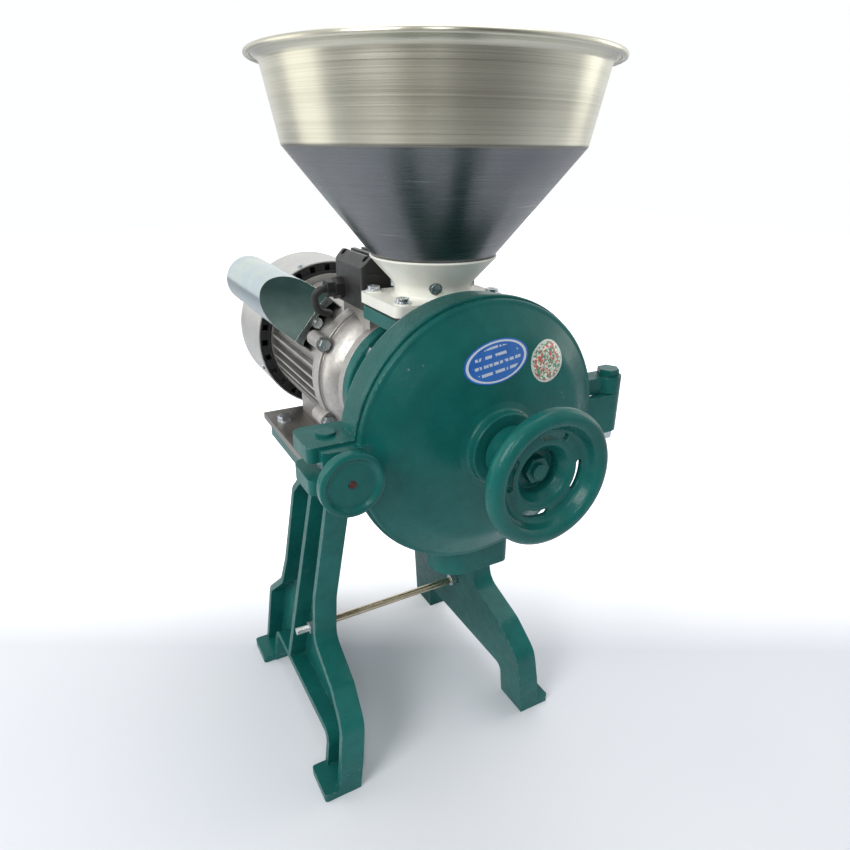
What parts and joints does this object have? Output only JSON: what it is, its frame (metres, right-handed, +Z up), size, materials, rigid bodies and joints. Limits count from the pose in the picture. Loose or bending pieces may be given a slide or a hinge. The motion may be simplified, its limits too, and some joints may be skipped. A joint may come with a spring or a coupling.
{
  "type": "grain mill",
  "caption": "Electric burr grain mill: steel hopper, white neck, cast mill head with hinged front cover and hand wheel, finned motor on two cast leg frames.",
  "frame": {"origin": "on the floor under the middle of the whole machine", "axes": "+Z up, +Y from the hand wheel to the motor's fan cowl, +X to the hinge side"},
  "size_m": [0.2975, 0.52, 0.666],
  "materials": {
    "enamel": "gloss",
    "hopper_steel": "spun",
    "white_plastic": "satin",
    "black_plastic": "matte",
    "seal_rubber": "matte",
    "motor_aluminium": "cast",
    "cowl_paint": "satin",
    "zinc": "zinc plated",
    "plate_steel": "oiled",
    "steel_bright": "brushed",
    "cast_burr": "ground",
    "copper": "varnished",
    "lamination": "oiled",
    "blue_label": "printed",
    "silver_label": "printed",
    "red_plastic": "gloss",
    "capacitor_can": "drawn"
  },
  "bodies": {
    "machine": {"right_leg_frame": "enamel", "left_leg_frame": "enamel", "tie_rod": "zinc", "tie_rod_nuts": "zinc", "motor_base_plate": "plate_steel", "base_plate_bolts": "zinc", "base_plate_nuts": "zinc", "motor_foot_screws": "zinc", "motor_shell": "motor_aluminium", "front_end_bell": "motor_aluminium", "rear_end_bell": "motor_aluminium", "motor_tie_bolts": "zinc", "stator_core": "lamination", "stator_windings": "copper", "front_bearing": "steel_bright", "rear_bearing": "steel_bright", "air_guide_ring": "black_plastic", "fan_cowl": "cowl_paint", "cowl_screws": "zinc", "terminal_box": "black_plastic", "terminal_box_lid": "black_plastic", "terminal_lid_screws": "zinc", "terminal_board": "black_plastic", "cable_glands": "black_plastic", "run_capacitor": "capacitor_can", "capacitor_cover": "zinc", "capacitor_cover_screw": "zinc", "capacitor_lead": "black_plastic", "mill_housing": "enamel", "housing_bolts": "zinc", "shaft_seal": "seal_rubber", "fixed_burr": "cast_burr", "fixed_burr_screws": "zinc", "hinge_pin": "zinc", "hinge_pin_nut": "zinc", "clamp_pivot_pin": "zinc", "neck_gasket": "seal_rubber", "feed_neck": "white_plastic", "neck_bolts": "zinc", "hopper": "hopper_steel", "hopper_screws": "zinc"},
    "rotor": {"motor_shaft": "steel_bright", "rotor_core": "lamination", "cooling_fan": "black_plastic", "feed_screw": "steel_bright"},
    "grinding_disc": {"rotor_disc": "cast_burr", "rotating_burr": "cast_burr", "rotating_burr_screws": "zinc"},
    "cover": {"front_cover": "enamel", "rating_plate": "blue_label", "inspection_seal": "silver_label"},
    "spindle_cap": {"thrust_cap": "steel_bright"},
    "wheel": {"adjusting_spindle": "steel_bright", "handwheel": "enamel", "handwheel_nut": "zinc"},
    "swing_bolt": {"clamp_bolt": "zinc"},
    "knob_washer": {"clamp_washer": "zinc"},
    "knob": {"clamp_knob": "enamel", "clamp_knob_plug": "red_plastic"}
  },
  "joints": [
    {"name": "motor_spin", "type": "hinge", "parent": "machine", "child": "rotor", "pos_m": [0, 0, 0.392], "axis": [0, 1, 0], "continuous": true},
    {"name": "disc_travel", "type": "slide", "parent": "rotor", "child": "grinding_disc", "axis": [0, -1, 0], "range_m": [0, 0.004]},
    {"name": "cover_hinge", "type": "hinge", "parent": "machine", "child": "cover", "pos_m": [0.137, -0.161, 0.392], "axis": [0, 0, 1], "range_deg": [0, 110]},
    {"name": "spindle_travel", "type": "slide", "parent": "cover", "child": "spindle_cap", "axis": [0, -1, 0], "range_m": [0, 0.004]},
    {"name": "wheel_turn", "type": "hinge", "parent": "spindle_cap", "child": "wheel", "pos_m": [0, -0.23, 0.392], "axis": [0, -1, 0], "range_deg": [0, 720]},
    {"name": "clamp_swing", "type": "hinge", "parent": "cover", "child": "swing_bolt", "pos_m": [-0.124, -0.146, 0.39], "axis": [0, 0, 1], "range_deg": [-95, 0]},
    {"name": "knob_travel", "type": "slide", "parent": "swing_bolt", "child": "knob_washer", "axis": [0, -1, 0], "range_m": [0, 0.003]},
    {"name": "knob_turn", "type": "hinge", "parent": "knob_washer", "child": "knob", "pos_m": [-0.124, -0.185, 0.39], "axis": [0, -1, 0], "range_deg": [0, 720]}
  ],
  "couplings": [
    {"joint": "disc_travel", "follows": "wheel_turn", "m_per_rad": 0.00031831},
    {"joint": "spindle_travel", "follows": "wheel_turn", "m_per_rad": 0.00031831},
    {"joint": "knob_travel", "follows": "knob_turn", "m_per_rad": 0.00023873}
  ]
}
